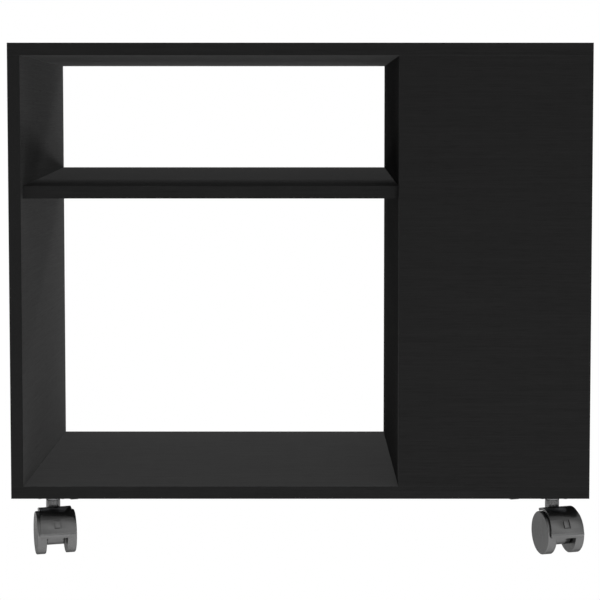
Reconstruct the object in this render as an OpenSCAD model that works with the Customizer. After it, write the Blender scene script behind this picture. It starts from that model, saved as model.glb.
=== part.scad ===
// Low printer stand on swivel casters: an open bay with a slanted shelf beside a closed-front
// end column, whose pigeonholes open to the right-hand end.
// +X is right as seen from the front, the front faces -Y, and the floor is at Z = 0.

/* [Cabinet] */
// Width of the cabinet
cabinet_w = 700; // [600:5:900]
// Depth of the cabinet
cabinet_d = 350; // [320:5:450]
// Height of the cabinet without its casters
cabinet_h = 550; // [450:5:700]
// Thickness of every board
board_t = 15; // [12:1:18]
// Outer width of the closed column at the right-hand end
column_w = 231.4; // [180:0.1:300]

/* [Bay shelf] */
// How far the shelf's front edge is set back from the cabinet's front
shelf_setback = 13.5; // [5:0.5:40]
// Height of the shelf's front top edge above the cabinet's underside
shelf_front_z = 378.3; // [250:0.1:450]
// How much higher the shelf's rear top edge lies than its front top edge
shelf_rise = 14.2; // [0:0.1:30]

/* [Casters] */
// Height of the cabinet's underside above the floor
caster_h = 70; // [66:1:80]
// Radius of a caster wheel
wheel_r = 26; // [22:0.5:28]
// Width of one wheel
wheel_w = 11; // [9:0.5:12]
// Gap between the inner faces of a caster's two wheels
wheel_gap = 25; // [24:0.5:30]
// Distance from the swivel axis to the wheel axle
trail = 17; // [14:0.5:20]
// Angle by which the casters are turned from straight forward
caster_turn = 15.5; // [0:0.5:30]
// Distance from the cabinet's left edge to the left swivel axes
left_inset = 45.8; // [40:0.1:80]
// Distance from the cabinet's right edge to the right swivel axes
right_inset = 40.1; // [38:0.1:80]
// Distance from the cabinet's front and back edges to the swivel axes
depth_inset = 32; // [28:0.5:60]

/* [Hidden] */
$fn = 64;
clearance = 0.05;      // radial play of every shaft, screw and dowel in its hole
body_gap = 0.3;        // gap between faces that turn past each other
cut = 1;               // how far a cutting solid runs past a face

// Caster hood
canopy_r = 30;
canopy_t = 3.2;
canopy_top_w = 38.6;
canopy_low_w = 43;
canopy_lip = 1;
canopy_corner_r = 3.5;
canopy_back_angle = 115;
canopy_front_dip = 2;      // degrees that the shell runs on below its lip
web_w = 21;
web_hub_r = 15.4;
web_back_angle = 30;
web_back_z = 2;
web_nose_x = 27;
web_nose_z = 9;
hub_boss_r = 6;
neck_r = 8.6;
neck_top = 62.3;
neck_foot = 28;
tab_w = 8.6;
tab_h = 11;
tab_slit = 1.2;
tab_slit_depth = 1.8;
tab_angle = 30.5;

// Caster hardware
plate_w = 38;
plate_t = 2;
plate_corner_r = 4;
plate_hole_pitch = 28;
plate_hole_r = 2.2;
pin_r = 4;
pin_bevel = 1;
pin_depth = 22;
pin_groove_r = 3.2;
pin_groove_w = 1.4;
pin_groove_depth = 15;
collar_r = 5.8;
washer_r = 7;
washer_t = 0.8;
grip_ring_r = 4.8;
grip_ring_slot = 60;
axle_r = 3;
axle_bevel = 0.5;
axle_end_gap = 0.3;
axle_in_wheel = 8;

// Caster wheel
wheel_bevel = 0.8;
wheel_inner_bevel = 0.5;

// Fasteners
screw_r = 3.2;
screw_head_r = 5;
screw_head_t = 4;
screw_l = 48;
hex_key_r = 2.3;
hex_key_depth = 3;
cap_r = 6.5;
cap_t = 1.6;
dowel_r = 4;
dowel_l = 30;
dowel_bevel = 1;
pin_end_gap = 1;
shelf_pin_r = 2.5;
shelf_pin_in = 8;
shelf_pin_out = 9;
shelf_pin_flange_r = 4.5;
shelf_pin_flange_t = 1.2;
shelf_pin_inset = 40;
plate_screw_r = 2;
plate_screw_l = 12;
plate_screw_head_r = 3.6;
plate_screw_crown_r = 2.5;
plate_screw_head_t = 2;
plate_screw_slot_l = 4;
plate_screw_slot_w = 0.8;
plate_screw_slot_depth = 1.2;

// Where things are
axle_back = depth_inset - trail * cos(caster_turn);
front_overhang = canopy_r * cos(caster_turn) + canopy_low_w / 2 * sin(caster_turn) - axle_back;
front_y = (front_overhang - cabinet_d) / 2;
back_y = front_y + cabinet_d;
left_x = -cabinet_w / 2;
right_x = cabinet_w / 2;
under_z = caster_h;
top_z = caster_h + cabinet_h;
panel_z = under_z + board_t;
panel_h = cabinet_h - 2 * board_t;
bay_left = left_x + board_t;
column_left = right_x - column_w;
column_in_x = column_left + board_t;
column_in_y = front_y + board_t;
column_in_d = cabinet_d - 2 * board_t;
column_pitch = (panel_h + board_t) / 3;

// Bay shelf
shelf_run = cabinet_d - shelf_setback;
shelf_tilt = atan(shelf_rise / shelf_run);
shelf_d = (shelf_run - board_t * sin(shelf_tilt)) / cos(shelf_tilt);
shelf_w = column_left - bay_left;

// Places of the fasteners
joint_inset = 50;
joint_y = [front_y + joint_inset, back_y - joint_inset];
dowel_y = [front_y + 2 * joint_inset, back_y - 2 * joint_inset];
side_panel_x = [left_x + board_t / 2, column_left + board_t / 2];
end_panel_y = [front_y + board_t / 2, back_y - board_t / 2];
end_panel_screw_share = 0.6;
end_panel_dowel_shares = [0.35, 0.85];
end_panel_screw_x = column_left + column_w * end_panel_screw_share;
end_panel_dowel_x = [for (share = end_panel_dowel_shares) column_left + column_w * share];
screw_xy = concat([for (x = side_panel_x, y = joint_y) [x, y]],
                  [for (y = end_panel_y) [end_panel_screw_x, y]]);
dowel_xy = concat([for (x = side_panel_x, y = dowel_y) [x, y]],
                  [for (x = end_panel_dowel_x, y = end_panel_y) [x, y]]);
shelf_screw_places = [0.2, 0.8];
shelf_pin_x = [column_in_x + shelf_pin_inset, right_x - shelf_pin_inset];
pin_groove_z = neck_top - pin_groove_depth;

CASTERS = ["front_left", "front_right", "rear_left", "rear_right"];
stem_xy = [
    [left_x + left_inset, front_y + depth_inset],
    [right_x - right_inset, front_y + depth_inset],
    [left_x + left_inset, back_y - depth_inset],
    [right_x - right_inset, back_y - depth_inset],
];
BOARDS = ["top_board", "bottom_board", "left_side_panel", "divider_panel", "column_front_panel",
          "column_back_panel", "bay_shelf", "column_upper_shelf", "column_lower_shelf"];
FASTENERS = ["top_screws", "top_screw_caps", "bottom_screws", "shelf_screws", "shelf_screw_caps",
             "dowels", "shelf_pins", "plate_screws"];
CASTER_PIECES = ["plate", "kingpin", "grip_ring", "thrust_washer", "hood", "axle",
                 "left_wheel", "right_wheel"];
CASTER_COUNT = len(CASTERS);

BOARD_BLACK = "#232323";
PLASTIC_GREY = "#4a4a4a";
ZINC = "#c9ccd0";
BEECH = "#d3b184";

// ---------- shared shapes ----------

module board(x, y, z, w, d, h) {
    translate([x, y, z]) cube([w, d, h]);
}

// A cylinder from one height to another
module post(r, z0, z1) {
    translate([0, 0, z0]) cylinder(r = r, h = z1 - z0);
}

// Connecting screw with its head's top at the origin, pointing down
module board_screw() {
    difference() {
        union() {
            post(screw_r, -screw_l, 0);
            translate([0, 0, -screw_head_t])
                cylinder(r1 = screw_r, r2 = screw_head_r, h = screw_head_t);
        }
        translate([0, 0, -hex_key_depth]) cylinder(r = hex_key_r, h = hex_key_depth + cut, $fn = 6);
    }
}

// Hole for a connecting screw and its cap, with the board's face at the origin
module board_screw_hole(capped) {
    sink = capped ? cap_t : 0;
    post(screw_r + clearance, -sink - screw_l - pin_end_gap, 0);
    translate([0, 0, -sink - screw_head_t]) {
        cylinder(r1 = screw_r + clearance, r2 = screw_head_r + clearance, h = screw_head_t);
        post(screw_head_r + clearance, screw_head_t, screw_head_t + sink + cut);
    }
    if (capped) post(cap_r + clearance, -cap_t, cut);
}

// Round plug with a flat flush face at the origin
module screw_cap() {
    post(cap_r, -cap_t + clearance, 0);
}

module dowel() {
    rotate_extrude() polygon([
        [0, -dowel_l / 2], [dowel_r - dowel_bevel, -dowel_l / 2], [dowel_r, -dowel_l / 2 + dowel_bevel],
        [dowel_r, dowel_l / 2 - dowel_bevel], [dowel_r - dowel_bevel, dowel_l / 2], [0, dowel_l / 2],
    ]);
}

module dowel_hole() {
    post(dowel_r + clearance, -dowel_l / 2 - pin_end_gap, dowel_l / 2 + pin_end_gap);
}

// ---------- places ----------

module at_top_screws() for (p = screw_xy) translate([p.x, p.y, top_z]) children();
module at_bottom_screws() for (p = screw_xy) translate([p.x, p.y, under_z]) rotate([180, 0, 0]) children();

// A dowel is mostly in the panel, and a third of it is in the board
module at_dowels() {
    reach = dowel_l / 6;
    for (p = dowel_xy) {
        translate([p.x, p.y, top_z - board_t - reach]) children();
        translate([p.x, p.y, panel_z + reach]) children();
    }
}

// Frame of the slanted shelf: origin at its front top edge, +Y along the slope
module on_bay_shelf() {
    translate([0, front_y + shelf_setback, under_z + shelf_front_z]) rotate([shelf_tilt, 0, 0]) children();
}

module at_left_shelf_screws() {
    on_bay_shelf() for (k = shelf_screw_places)
        translate([left_x, k * shelf_d, -board_t / 2]) rotate([0, -90, 0]) children();
}

module at_divider_shelf_screws() {
    on_bay_shelf() for (k = shelf_screw_places)
        translate([column_in_x, k * shelf_d, -board_t / 2]) rotate([0, 90, 0]) children();
}

function column_shelf_z(level) = panel_z + level * column_pitch - board_t;

// Shelf pins lie along Y, half in the front or back panel, under both column shelves
module at_shelf_pins() {
    for (level = [1, 2], x = shelf_pin_x) {
        z = column_shelf_z(level) - shelf_pin_r;
        translate([x, column_in_y, z]) rotate([-90, 0, 0]) children();
        translate([x, column_in_y + column_in_d, z]) rotate([90, 0, 0]) children();
    }
}

// Swivel frame of one caster: origin under its kingpin on the floor, wheels towards -Y
module at_caster(i) {
    translate([stem_xy[i].x, stem_xy[i].y, 0]) rotate([0, 0, caster_turn]) children();
}

// Frame of a caster's axle: X along the axle, origin at its middle
module at_axle() translate([0, -trail, wheel_r]) children();

module at_plate_holes() {
    for (x = [-1, 1], y = [-1, 1])
        translate([x * plate_hole_pitch / 2, y * plate_hole_pitch / 2, under_z]) children();
}

// The plate is square to the cabinet and does not turn with the hood
module at_plate(i) translate([stem_xy[i].x, stem_xy[i].y, 0]) children();

// ---------- boards ----------

module top_board() {
    color(BOARD_BLACK) difference() {
        board(left_x, front_y, top_z - board_t, cabinet_w, cabinet_d, board_t);
        at_top_screws() board_screw_hole(true);
        at_dowels() dowel_hole();
    }
}

module bottom_board() {
    color(BOARD_BLACK) difference() {
        board(left_x, front_y, under_z, cabinet_w, cabinet_d, board_t);
        at_bottom_screws() board_screw_hole(false);
        at_dowels() dowel_hole();
        for (i = [0:CASTER_COUNT - 1]) at_plate(i) at_plate_holes() plate_screw_hole();
    }
}

module left_side_panel() {
    color(BOARD_BLACK) difference() {
        board(left_x, front_y, panel_z, board_t, cabinet_d, panel_h);
        panel_end_holes();
        at_left_shelf_screws() board_screw_hole(true);
    }
}

module divider_panel() {
    color(BOARD_BLACK) difference() {
        board(column_left, column_in_y, panel_z, board_t, column_in_d, panel_h);
        panel_end_holes();
        at_divider_shelf_screws() board_screw_hole(false);
    }
}

module column_front_panel() {
    color(BOARD_BLACK) difference() {
        board(column_left, front_y, panel_z, column_w, board_t, panel_h);
        panel_end_holes();
        at_shelf_pins() shelf_pin_hole();
    }
}

module column_back_panel() {
    color(BOARD_BLACK) difference() {
        board(column_left, back_y - board_t, panel_z, column_w, board_t, panel_h);
        panel_end_holes();
        at_shelf_pins() shelf_pin_hole();
    }
}

// Screw and dowel holes in the ends of every upright panel
module panel_end_holes() {
    at_top_screws() board_screw_hole(true);
    at_bottom_screws() board_screw_hole(false);
    at_dowels() dowel_hole();
}

module bay_shelf() {
    color(BOARD_BLACK) difference() {
        on_bay_shelf() board(bay_left, 0, -board_t, shelf_w, shelf_d, board_t);
        at_left_shelf_screws() board_screw_hole(true);
        at_divider_shelf_screws() board_screw_hole(false);
    }
}

module column_shelf(level) {
    color(BOARD_BLACK)
        board(column_in_x, column_in_y, column_shelf_z(level), right_x - column_in_x, column_in_d, board_t);
}

// ---------- fasteners ----------

module top_screws() color(ZINC) at_top_screws() translate([0, 0, -cap_t]) board_screw();
module top_screw_caps() color(BOARD_BLACK) at_top_screws() screw_cap();
module bottom_screws() color(ZINC) at_bottom_screws() board_screw();

module shelf_screws() {
    color(ZINC) {
        at_left_shelf_screws() translate([0, 0, -cap_t]) board_screw();
        at_divider_shelf_screws() board_screw();
    }
}

module shelf_screw_caps() color(BOARD_BLACK) at_left_shelf_screws() screw_cap();
module dowels() color(BEECH) at_dowels() dowel();

module shelf_pin() {
    post(shelf_pin_r, -shelf_pin_in, shelf_pin_out);
    post(shelf_pin_flange_r, 0, shelf_pin_flange_t);
}

module shelf_pin_hole() post(shelf_pin_r + clearance, -shelf_pin_in - pin_end_gap, cut);

// The flange is cut level with the pin's top, so that the shelf rests on the whole pin
module shelf_pins() {
    color(ZINC) difference() {
        at_shelf_pins() shelf_pin();
        for (level = [1, 2])
            board(column_in_x, column_in_y, column_shelf_z(level), column_w, column_in_d, board_t);
    }
}

module plate_screw() {
    post(plate_screw_r, -plate_t, plate_screw_l - plate_t);
    translate([0, 0, -plate_t - plate_screw_head_t])
        cylinder(r1 = plate_screw_crown_r, r2 = plate_screw_head_r, h = plate_screw_head_t);
}

module plate_screw_hole() post(plate_screw_r + clearance, -cut, plate_screw_l - plate_t + pin_end_gap);

// Cross slot in a plate screw's head
module plate_screw_slots() {
    depth = plate_screw_slot_depth + cut;
    for (turn = [0, 90])
        rotate([0, 0, turn]) translate([0, 0, -plate_t - plate_screw_head_t - cut + depth / 2])
            cube([plate_screw_slot_l, plate_screw_slot_w, depth], center = true);
}

module plate_screws() {
    color(ZINC) for (i = [0:CASTER_COUNT - 1]) at_plate(i) at_plate_holes() difference() {
        plate_screw();
        plate_screw_slots();
    }
}

// ---------- casters ----------

module plate_outline() {
    edge = plate_w / 2 - plate_corner_r;
    square([plate_w, 2 * edge], center = true);
    square([2 * edge, plate_w], center = true);
    for (x = [-edge, edge], y = [-edge, edge]) translate([x, y]) circle(plate_corner_r);
}

module caster_plate() {
    color(ZINC) difference() {
        translate([0, 0, under_z - plate_t]) linear_extrude(plate_t) plate_outline();
        at_plate_holes() post(plate_hole_r, -plate_t - cut, cut);
        post(pin_r + clearance, under_z - plate_t - cut, under_z + cut);
    }
}

module caster_kingpin() {
    color(ZINC) rotate_extrude() polygon([
        [0, neck_top - pin_depth], [pin_r - pin_bevel, neck_top - pin_depth],
        [pin_r, neck_top - pin_depth + pin_bevel],
        [pin_r, pin_groove_z], [pin_groove_r, pin_groove_z],
        [pin_groove_r, pin_groove_z + pin_groove_w], [pin_r, pin_groove_z + pin_groove_w],
        [pin_r, neck_top + washer_t + body_gap], [collar_r, neck_top + washer_t + body_gap],
        [collar_r, under_z - plate_t], [pin_r, under_z - plate_t], [pin_r, under_z], [0, under_z],
    ]);
}

// Split spring ring in the kingpin's groove
module caster_grip_ring() {
    color(ZINC) translate([0, 0, pin_groove_z + clearance])
        rotate_extrude(angle = 360 - grip_ring_slot)
            translate([pin_groove_r + clearance, 0])
                square([grip_ring_r - pin_groove_r - clearance, pin_groove_w - 2 * clearance]);
}

module caster_thrust_washer() {
    color(ZINC) difference() {
        post(washer_r, neck_top, neck_top + washer_t);
        post(pin_r + body_gap, neck_top - cut, neck_top + washer_t + cut);
    }
}

// Side view of the web: +X is forward from the axle, +Y is up
module web_outline() {
    back = -trail - neck_r;
    intersection() {
        circle(canopy_r - canopy_t / 2);
        union() {
            circle(web_hub_r);
            polygon([
                [back, web_back_z],
                [-web_hub_r * cos(web_back_angle), -web_hub_r * sin(web_back_angle)],
                [web_hub_r, 0], [web_nose_x, web_nose_z], [canopy_r, canopy_r], [back, canopy_r],
            ]);
        }
    }
}

// Front view of the canopy: narrower at the top, with round lower corners
module canopy_outline() {
    low = canopy_low_w / 2;
    corner_x = low - canopy_corner_r;
    corner_z = canopy_corner_r - canopy_lip;
    polygon([[-canopy_top_w / 2, canopy_r + cut], [canopy_top_w / 2, canopy_r + cut],
             [low, corner_z], [-low, corner_z]]);
    translate([-corner_x, -canopy_lip]) square([2 * corner_x, canopy_corner_r]);
    for (side = [-1, 1]) translate([side * corner_x, corner_z]) circle(canopy_corner_r);
}

// Curved shell over the wheels
module canopy() {
    start = -asin(canopy_lip / (canopy_r - canopy_t)) - canopy_front_dip;
    intersection() {
        rotate([90, 0, -90]) translate([0, 0, -canopy_low_w / 2 - cut]) rotate([0, 0, start])
            rotate_extrude(angle = canopy_back_angle - start)
                translate([canopy_r - canopy_t, 0]) square([canopy_t, canopy_low_w + 2 * cut]);
        rotate([90, 0, 0]) translate([0, 0, -canopy_r]) linear_extrude(2 * canopy_r + cut) canopy_outline();
    }
}

// Closed rectangular slit round a snap-in tab on the canopy's front
module tab_slit() {
    inner_w = tab_w - 2 * tab_slit;
    inner_h = tab_h - 2 * tab_slit;
    rotate([90 - tab_angle, 0, 0]) translate([0, 0, canopy_r - tab_slit_depth]) difference() {
        translate([-tab_w / 2, -tab_h / 2, 0]) cube([tab_w, tab_h, 2 * cut]);
        translate([-inner_w / 2, -inner_h / 2, -cut]) cube([inner_w, inner_h, 4 * cut]);
    }
}

module caster_hood() {
    color(PLASTIC_GREY) difference() {
        union() {
            at_axle() {
                canopy();
                rotate([90, 0, -90]) translate([0, 0, -web_w / 2]) linear_extrude(web_w) web_outline();
                rotate([0, 90, 0]) post(hub_boss_r, -wheel_gap / 2 + body_gap, wheel_gap / 2 - body_gap);
            }
            post(neck_r, neck_foot, neck_top);
        }
        at_axle() {
            tab_slit();
            rotate([0, 90, 0]) post(axle_r + clearance, -wheel_gap, wheel_gap);
        }
        post(pin_r + clearance, neck_top - pin_depth - pin_end_gap, neck_top + cut);
        post(grip_ring_r + body_gap, pin_groove_z - body_gap, pin_groove_z + pin_groove_w + body_gap);
    }
}

module caster_axle() {
    half = wheel_gap / 2 + axle_in_wheel;
    color(ZINC) at_axle() rotate([0, 90, 0]) rotate_extrude() polygon([
        [0, -half], [axle_r - axle_bevel, -half], [axle_r, -half + axle_bevel],
        [axle_r, half - axle_bevel], [axle_r - axle_bevel, half], [0, half],
    ]);
}

// Wheel with a blind hub bore; side is -1 for the left wheel and 1 for the right one
module caster_wheel(side) {
    bore = axle_r + clearance;
    bore_l = axle_in_wheel + axle_end_gap;
    color(PLASTIC_GREY) at_axle() rotate([0, 90 * side, 0]) translate([0, 0, wheel_gap / 2])
        rotate_extrude() polygon([
            [bore, 0], [wheel_r - wheel_inner_bevel, 0], [wheel_r, wheel_inner_bevel],
            [wheel_r, wheel_w - wheel_bevel], [wheel_r - wheel_bevel, wheel_w],
            [0, wheel_w], [0, bore_l], [bore, bore_l],
        ]);
}

// ---------- nodes ----------

top_board();
bottom_board();
left_side_panel();
divider_panel();
column_front_panel();
column_back_panel();
bay_shelf();
column_shelf(2);  // column_upper_shelf
column_shelf(1);  // column_lower_shelf
top_screws();
top_screw_caps();
bottom_screws();
shelf_screws();
shelf_screw_caps();
dowels();
shelf_pins();
plate_screws();
for (i = [0:CASTER_COUNT - 1]) {
    name = CASTERS[i];
    at_plate(i) caster_plate();
    at_caster(i) caster_kingpin();
    at_caster(i) caster_grip_ring();
    at_caster(i) caster_thrust_washer();
    at_caster(i) caster_hood();
    at_caster(i) caster_axle();
    at_caster(i) caster_wheel(-1);
    at_caster(i) caster_wheel(1);
}
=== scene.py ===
"""Looks of the printer stand: matt black melamine boards on glossy grey twin-wheel casters."""
import math

import bpy
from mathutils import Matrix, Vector


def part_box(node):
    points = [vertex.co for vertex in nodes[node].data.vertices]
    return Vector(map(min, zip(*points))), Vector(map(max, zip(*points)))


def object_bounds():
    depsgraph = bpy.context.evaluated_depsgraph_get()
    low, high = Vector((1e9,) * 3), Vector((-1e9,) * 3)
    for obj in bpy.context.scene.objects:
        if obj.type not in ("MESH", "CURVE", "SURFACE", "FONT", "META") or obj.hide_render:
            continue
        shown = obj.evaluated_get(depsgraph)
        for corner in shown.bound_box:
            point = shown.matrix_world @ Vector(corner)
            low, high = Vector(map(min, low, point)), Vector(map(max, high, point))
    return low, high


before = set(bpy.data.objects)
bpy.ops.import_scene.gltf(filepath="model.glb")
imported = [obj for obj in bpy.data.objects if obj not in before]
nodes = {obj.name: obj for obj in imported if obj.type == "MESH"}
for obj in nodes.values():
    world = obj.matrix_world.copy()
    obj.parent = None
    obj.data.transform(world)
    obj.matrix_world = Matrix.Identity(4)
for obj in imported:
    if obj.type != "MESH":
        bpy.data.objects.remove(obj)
cad_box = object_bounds()
scene = bpy.context.scene

MM = 0.001
CASTERS = ("front_left", "front_right", "rear_left", "rear_right")
CASTER_TURN = 15.5

front_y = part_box("top_board")[0].y
middle = (cad_box[0] + cad_box[1]) / 2


# ---------- camera ----------

def make_camera(x, distance, height, pitch, lens, shift_x, shift_y):
    """Looks along +Y from in front of the cabinet, pitch degrees downwards.

    The lens is in mm and the lengths are in metres.
    """
    data = bpy.data.cameras.new("camera")
    data.lens = lens
    data.shift_x = shift_x
    data.shift_y = shift_y
    camera = bpy.data.objects.new("camera", data)
    camera.location = (x, front_y - distance, height)
    camera.rotation_euler = (math.radians(90 - pitch), 0, 0)
    scene.collection.objects.link(camera)
    scene.camera = camera


# The shift keeps the cabinet's sides nearly upright; the slight pitch keeps the shift small.
make_camera(x=0.0012, distance=1.9146, height=0.5208, pitch=3.115, lens=95.95,
            shift_x=-0.00214, shift_y=-0.145)


# ---------- shader helpers ----------

def new_material(name):
    material = bpy.data.materials.new(name)
    material.use_nodes = True
    tree = material.node_tree
    return material, tree, tree.nodes["Principled BSDF"]


def feed(tree, node, inputs):
    """Sets a node's inputs by name, each from a number, a tuple or another node's output."""
    for name, value in inputs.items():
        if isinstance(value, bpy.types.NodeSocket):
            tree.links.new(value, node.inputs[name])
        else:
            node.inputs[name].default_value = value


def add(tree, kind, inputs, **settings):
    node = tree.nodes.new("ShaderNode" + kind)
    for name, value in settings.items():
        setattr(node, name, value)
    feed(tree, node, inputs)
    return node


def place(tree, stretch=(1, 1, 1), turn=0):
    """Object coordinates in metres, turned about Z and multiplied along each axis."""
    here = add(tree, "TexCoord", {})
    turned = add(tree, "VectorRotate", {"Vector": here.outputs["Object"], "Angle": -math.radians(turn)},
                 rotation_type="Z_AXIS")
    return add(tree, "Mapping", {"Vector": turned.outputs[0], "Scale": stretch}).outputs[0]


def noise(tree, where, scale=1.0, detail=3.0, roughness=0.6):
    inputs = {"Vector": where, "Scale": scale, "Detail": detail, "Roughness": roughness}
    return add(tree, "TexNoise", inputs).outputs["Fac"]


def span(tree, value, start, end, low, high):
    """Maps start..end to low..high and holds it there outside."""
    inputs = {"Value": value, "From Min": start, "From Max": end, "To Min": low, "To Max": high}
    return add(tree, "MapRange", inputs).outputs["Result"]


def smooth_span(tree, value, start, end, low, high):
    """As span, but eased at both ends."""
    inputs = {"Value": value, "From Min": start, "From Max": end, "To Min": low, "To Max": high}
    return add(tree, "MapRange", inputs, interpolation_type="SMOOTHSTEP").outputs["Result"]


def maths(tree, operation, first, second):
    node = add(tree, "Math", {}, operation=operation)
    for index, value in enumerate((first, second)):
        if isinstance(value, bpy.types.NodeSocket):
            tree.links.new(value, node.inputs[index])
        else:
            node.inputs[index].default_value = value
    return node.outputs[0]


def blend_colours(tree, factor, first, second):
    node = add(tree, "Mix", {"Factor": factor}, data_type="RGBA")
    for socket, value in ((node.inputs["A"], first), (node.inputs["B"], second)):
        if isinstance(value, bpy.types.NodeSocket):
            tree.links.new(value, socket)
        else:
            socket.default_value = (*value, 1)
    return node.outputs["Result"]


def bump(tree, height, depth, strength):
    return add(tree, "Bump", {"Height": height, "Distance": depth, "Strength": strength}).outputs[0]


# ---------- materials ----------

NOISE_RANGE = (0.3, 0.7)    # most of a noise texture's values lie in here
GRAZING_TINT = 0.3     # how much of the nylon's reflection is left where it is seen edge-on
# Painted light and shade: the boards' colour depends on which way a face points. Faces across Y keep the
# plain dark tone, other faces a lighter painted-light tone, the divider a tone between.
EDGE_TONE = 0.015
SIDEWAYS_PAINTED_LIGHT_TONE = 0.045
# Painted light and shade: the divider's faces get less painted light than the other boards, standing in
# for the shade it stands in.
DIVIDER_PAINTED_LIGHT_TONE = 0.0225
PORE_RANGE = (0.34, 0.44)


def melamine(name, grain, painted_light_tone):
    """Black melamine-faced board with long fine grain lines and short pores, and no mirror-like sheen.

    Faces across Y, which are the cut edges, fronts and backs, have EDGE_TONE; the others have a lighter
    tone, painted light standing in for how the studio lights fall on them.
    The roughness shows only if the board is given a specular reflection.
    """
    material, tree, shader = new_material(name)
    normal = add(tree, "SeparateXYZ", {"Vector": add(tree, "TexCoord", {}).outputs["Normal"]})
    across = maths(tree, "ABSOLUTE", normal.outputs["Y"], 0.0)
    # Painted light: faces across Y get EDGE_TONE, every other face gets the lighter painted-light tone.
    tone = span(tree, across, 0.6, 0.8, painted_light_tone, EDGE_TONE)
    streaks = noise(tree, place(tree, grain), detail=4)
    pores = noise(tree, place(tree, tuple(4 * g for g in grain)), detail=1)
    pits = span(tree, pores, *PORE_RANGE, 0, 1)
    smudges = noise(tree, place(tree), scale=11, detail=2)
    shade = maths(tree, "MULTIPLY", tone, span(tree, streaks, *NOISE_RANGE, 0.9, 1.1))
    height = maths(tree, "ADD", streaks, maths(tree, "MULTIPLY", pits, 0.5))
    feed(tree, shader, {
        "Base Color": maths(tree, "MULTIPLY", shade, span(tree, pores, *PORE_RANGE, 0.8, 1)),
        "Roughness": maths(tree, "ADD", span(tree, streaks, *NOISE_RANGE, 0.44, 0.54),
                           span(tree, smudges, 0.35, 0.65, -0.04, 0.04)),
        "Specular IOR Level": 0.0,
        "Normal": bump(tree, height, 0.02 * MM, 0.3),
    })
    return material


def melamine_edge():
    """Corner of a board, where the film is rubbed a little smoother; its paler colour is partly rubbed
    wear and partly a painted highlight along the edge.
    """
    material, tree, shader = new_material("black_melamine_edge_wear_and_highlight")
    rub_and_highlight = noise(tree, place(tree), scale=60)
    feed(tree, shader, {
        # Painted highlight: the bevel is paler than the board's faces, standing in for light caught
        # along the edge as well as wear.
        "Base Color": span(tree, rub_and_highlight, 0.35, 0.7, 0.02, 0.045),
        "Roughness": span(tree, rub_and_highlight, *NOISE_RANGE, 0.45, 0.3),
        "Specular IOR Level": 0.2,
        "Normal": bump(tree, rub_and_highlight, 0.1 * MM, 0.2),
    })
    return material


def nylon(name, tone, low, high, lines=0.0):
    """Glossy dark grey nylon with a fine mould texture; lines adds turning lines across a tread."""
    material, tree, shader = new_material(name)
    flow = noise(tree, place(tree), scale=28, detail=2)
    skin = noise(tree, place(tree), scale=1500, detail=2)
    height = skin
    if lines:
        rings = noise(tree, place(tree, (2600, 12, 12), CASTER_TURN), detail=1)
        height = maths(tree, "ADD", skin, maths(tree, "MULTIPLY", rings, lines))
    feed(tree, shader, {
        "Base Color": span(tree, flow, *NOISE_RANGE, 0.97 * tone, 1.03 * tone),
        "Metallic": 1.0,
        "Specular Tint": (GRAZING_TINT, GRAZING_TINT, GRAZING_TINT, 1),
        "Roughness": maths(tree, "ADD", span(tree, flow, *NOISE_RANGE, low, high),
                           span(tree, skin, *NOISE_RANGE, -0.02, 0.02)),
        "Normal": bump(tree, height, 0.05 * MM, 0.12),
    })
    return material


def nylon_edge(tone):
    """Rims and corners of the nylon, polished by use; their paler colour is both polish and a painted
    highlight along the edges.
    """
    material, tree, shader = new_material("grey_nylon_edge_wear_and_highlight")
    rub_and_highlight = noise(tree, place(tree), scale=220, detail=3)
    feed(tree, shader, {
        # Painted highlight: the bevels are up to 1.6 times the nylon's tone, standing in for light
        # caught along rims and corners as well as polish.
        "Base Color": span(tree, rub_and_highlight, 0.35, 0.65, tone, 1.6 * tone),
        "Metallic": 1.0,
        "Specular Tint": (GRAZING_TINT, GRAZING_TINT, GRAZING_TINT, 1),
        "Roughness": span(tree, rub_and_highlight, *NOISE_RANGE, 0.2, 0.32),
    })
    return material


def zinc_plate():
    """Zinc plating: a faint crystal pattern, brushed in one direction."""
    material, tree, shader = new_material("zinc")
    crystals = add(tree, "TexVoronoi", {"Vector": place(tree), "Scale": 380.0}).outputs["Color"]
    level = add(tree, "SeparateColor", {"Color": crystals}).outputs[0]
    brushed = noise(tree, place(tree, (60, 2500, 2500)), detail=2)
    feed(tree, shader, {
        "Base Color": blend_colours(tree, level, (0.3, 0.31, 0.33), (0.4, 0.41, 0.42)),
        "Metallic": 1.0,
        "Roughness": maths(tree, "ADD", span(tree, level, 0, 1, 0.3, 0.4),
                           span(tree, brushed, *NOISE_RANGE, -0.05, 0.05)),
        "Normal": bump(tree, brushed, 0.05 * MM, 0.15),
    })
    return material


def turned_steel():
    """Bright steel with fine rings left by turning."""
    material, tree, shader = new_material("bright_steel")
    rings = noise(tree, place(tree, (20, 20, 4000)), detail=1)
    stain = noise(tree, place(tree), scale=120)
    feed(tree, shader, {
        "Base Color": blend_colours(tree, stain, (0.74, 0.74, 0.75), (0.86, 0.86, 0.86)),
        "Metallic": 1.0,
        "Roughness": span(tree, stain, *NOISE_RANGE, 0.2, 0.3),
        "Normal": bump(tree, rings, 0.04 * MM, 0.2),
    })
    return material


def beech_wood():
    """Pale beech with grain along its length and short dark flecks."""
    material, tree, shader = new_material("beech")
    grain = noise(tree, place(tree, (900, 900, 30)), detail=3)
    flecks = span(tree, noise(tree, place(tree, (1800, 1800, 250)), detail=1), 0.62, 0.7, 0, 1)
    wood = blend_colours(tree, grain, (0.46, 0.29, 0.15), (0.66, 0.46, 0.27))
    feed(tree, shader, {
        "Base Color": blend_colours(tree, flecks, wood, (0.3, 0.17, 0.08)),
        "Roughness": span(tree, grain, *NOISE_RANGE, 0.55, 0.7),
        "Normal": bump(tree, grain, 0.1 * MM, 0.3),
    })
    return material


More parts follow.
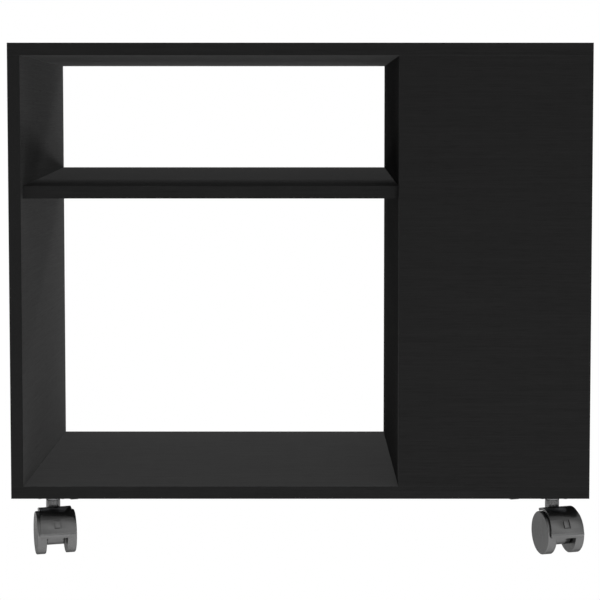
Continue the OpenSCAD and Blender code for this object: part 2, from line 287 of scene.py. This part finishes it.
def cap_plastic():
    """Matt black moulded plastic with a fine sparked texture."""
    material, tree, shader = new_material("black_cap_plastic")
    spark = noise(tree, place(tree), scale=2200, detail=2)
    feed(tree, shader, {
        "Base Color": span(tree, spark, *NOISE_RANGE, 0.012, 0.018),
        "Roughness": span(tree, spark, *NOISE_RANGE, 0.5, 0.62),
        "Specular IOR Level": 0.3,
        "Normal": bump(tree, spark, 0.06 * MM, 0.3),
    })
    return material


# Cycles of grain in a metre along each axis.
ALONG_X_UPRIGHT = (9, 9, 650)
ALONG_X_FLAT = (9, 650, 650)
ALONG_Y = (650, 9, 650)
HOOD_TONE = 0.19
WHEEL_TONE = 0.205

upright_board = melamine("black_melamine_front", ALONG_X_UPRIGHT, SIDEWAYS_PAINTED_LIGHT_TONE)
flat_board = melamine("black_melamine_flat", ALONG_X_FLAT, SIDEWAYS_PAINTED_LIGHT_TONE)
side_board = melamine("black_melamine_side", ALONG_Y, SIDEWAYS_PAINTED_LIGHT_TONE)
# The divider's colour is painted light and shade: lighter than the fronts, darker than the other boards'
# faces.
divider_painted_light_board = melamine("black_melamine_divider_painted_light", ALONG_Y, DIVIDER_PAINTED_LIGHT_TONE)
board_edge_wear_and_highlight = melamine_edge()
hood_nylon = nylon("grey_nylon_hood", HOOD_TONE, 0.2, 0.26)
wheel_nylon = nylon("grey_nylon_wheel", WHEEL_TONE, 0.24, 0.34, lines=0.8)
hood_edge_wear_and_highlight = nylon_edge(HOOD_TONE)
zinc = zinc_plate()
steel = turned_steel()
beech = beech_wood()
cap_black = cap_plastic()


# ---------- finish of the CAD nodes ----------

WELD_DISTANCE = 0.001 * MM
SHARP_ANGLE = math.radians(35)
BEVEL_SEGMENTS = 3
BOARD_BEVEL = 0.35 * MM
CAP_BEVEL = 0.25 * MM
METAL_BEVEL = 0.12 * MM
PLATE_BEVEL = 0.2 * MM
HOOD_BEVEL = 0.4 * MM
WHEEL_BEVEL = 0.25 * MM


def dress(name, material, bevel=0.0, edge=None):
    """Gives a node its material and softens its sharp edges, which may have a material of their own."""
    node = nodes[name]
    node.data.materials.clear()
    node.data.materials.append(material)
    if not bevel:
        return
    weld = node.modifiers.new("weld", "WELD")
    weld.merge_threshold = WELD_DISTANCE
    round_edges = node.modifiers.new("edges", "BEVEL")
    round_edges.width = bevel
    round_edges.segments = BEVEL_SEGMENTS
    round_edges.limit_method = "ANGLE"
    round_edges.angle_limit = SHARP_ANGLE
    round_edges.harden_normals = True
    if edge:
        node.data.materials.append(edge)
        round_edges.material = 1


for board in ("top_board", "bottom_board", "bay_shelf", "column_upper_shelf", "column_lower_shelf"):
    dress(board, flat_board, BOARD_BEVEL, board_edge_wear_and_highlight)
dress("left_side_panel", side_board, BOARD_BEVEL, board_edge_wear_and_highlight)
dress("divider_panel", divider_painted_light_board, BOARD_BEVEL, board_edge_wear_and_highlight)
for board in ("column_front_panel", "column_back_panel"):
    dress(board, upright_board, BOARD_BEVEL, board_edge_wear_and_highlight)
for caps in ("top_screw_caps", "shelf_screw_caps"):
    dress(caps, cap_black, CAP_BEVEL)
for metal in ("top_screws", "bottom_screws", "shelf_screws", "shelf_pins", "plate_screws"):
    dress(metal, zinc, METAL_BEVEL)
dress("dowels", beech)
for c in CASTERS:
    dress(c + "_plate", zinc, PLATE_BEVEL)
    for metal in ("_kingpin", "_grip_ring", "_thrust_washer", "_axle"):
        dress(c + metal, steel, METAL_BEVEL)
    dress(c + "_hood", hood_nylon, HOOD_BEVEL, hood_edge_wear_and_highlight)
    for wheel in ("_left_wheel", "_right_wheel"):
        dress(c + wheel, wheel_nylon, WHEEL_BEVEL, hood_edge_wear_and_highlight)


# ---------- floor, world and lights ----------

def camera_switch(tree, for_camera, for_light):
    """Mix of two shaders: the first where the camera looks straight at it, the second as a light."""
    path = tree.nodes.new("ShaderNodeLightPath")
    mix = tree.nodes.new("ShaderNodeMixShader")
    tree.links.new(path.outputs["Is Camera Ray"], mix.inputs["Fac"])
    tree.links.new(for_light, mix.inputs[1])
    tree.links.new(for_camera, mix.inputs[2])
    return mix.outputs["Shader"]


FLOOR_SIZE = 30.0
FLOOR_GLOW = 0.6
GLOW_FULL_TO = 0.45
GLOW_GONE_FROM = 1.5


def make_floor():
    """Plain floor, white to the camera. As a light it glows round the object and fades with distance."""
    mesh = bpy.data.meshes.new("floor")
    half = FLOOR_SIZE / 2
    corners = [(-half, -half, 0), (half, -half, 0), (half, half, 0), (-half, half, 0)]
    mesh.from_pydata(corners, [], [(0, 1, 2, 3)])
    floor = bpy.data.objects.new("floor", mesh)
    scene.collection.objects.link(floor)
    material, tree, shader = new_material("floor")
    here = add(tree, "TexCoord", {}).outputs["Object"]
    reach = add(tree, "VectorMath", {"Vector": here}, operation="LENGTH").outputs["Value"]
    feed(tree, shader, {
        "Base Color": (0.8, 0.8, 0.8, 1),
        "Roughness": 0.9,
        "Specular IOR Level": 0.1,
        "Emission Color": (1, 1, 1, 1),
        "Emission Strength": smooth_span(tree, reach, GLOW_FULL_TO, GLOW_GONE_FROM, FLOOR_GLOW, 0),
    })
    white = add(tree, "Emission", {})
    out = tree.nodes["Material Output"]
    tree.links.new(camera_switch(tree, white.outputs[0], shader.outputs[0]), out.inputs["Surface"])
    mesh.materials.append(material)


# Soft patches of the surroundings: the direction of each and its strength.
LOBES = {
    "front": ((0, -1, 0), 0.63),
    "right": ((1, 0, 0.2), 0.3),
    "left": ((-1, 0, 0.2), 0.15),
    "top": ((0, 0, 1), 0.1),
}
LOBE_EDGE = 0.1     # cosine of the angle from its middle at which a patch begins
LOBE_FULL = 0.77    # and at which it has its full strength


def make_world():
    """White to the camera; as a light, dark with brighter soft patches."""
    world = bpy.data.worlds.new("studio")
    scene.world = world
    world.use_nodes = True
    tree = world.node_tree
    white = tree.nodes["Background"]
    white.inputs["Color"].default_value = (1, 1, 1, 1)
    here = add(tree, "TexCoord", {}).outputs["Generated"]
    total = 0.0
    for direction, strength in LOBES.values():
        aim = Vector(direction).normalized()
        dot = add(tree, "VectorMath", {}, operation="DOT_PRODUCT")
        tree.links.new(here, dot.inputs[0])
        dot.inputs[1].default_value = aim
        patch = smooth_span(tree, dot.outputs["Value"], LOBE_EDGE, LOBE_FULL, 0, strength)
        total = maths(tree, "ADD", patch, total)
    soft = add(tree, "Background", {"Strength": total})
    out = tree.nodes["World Output"]
    tree.links.new(camera_switch(tree, white.outputs[0], soft.outputs[0]), out.inputs["Surface"])


make_floor()
make_world()

# Soft boxes: where each stands, its width and height, and its power in watts. They light the object
# without being seen, either directly or in a reflection.
SOFT_BOXES = {
    "back_high": ((0, 2.2, 1.8), (0.3, 0.3), 66),
    "back_low": ((0, 2.2, 0.1), (0.3, 0.3), 120),
    "front_low": ((0.6, -2.8, 0.3), (1.2, 0.5), 33),
}


def make_soft_box(name, position, size, power):
    data = bpy.data.lights.new(name, "AREA")
    data.shape = "RECTANGLE"
    data.size, data.size_y = size
    data.energy = power
    light = bpy.data.objects.new(name, data)
    light.location = position
    light.rotation_euler = (middle - light.location).to_track_quat("-Z", "Y").to_euler()
    light.visible_camera = False
    light.visible_glossy = False
    scene.collection.objects.link(light)


for name, (position, size, power) in SOFT_BOXES.items():
    make_soft_box(name, position, size, power)

scene.view_settings.view_transform = "Standard"
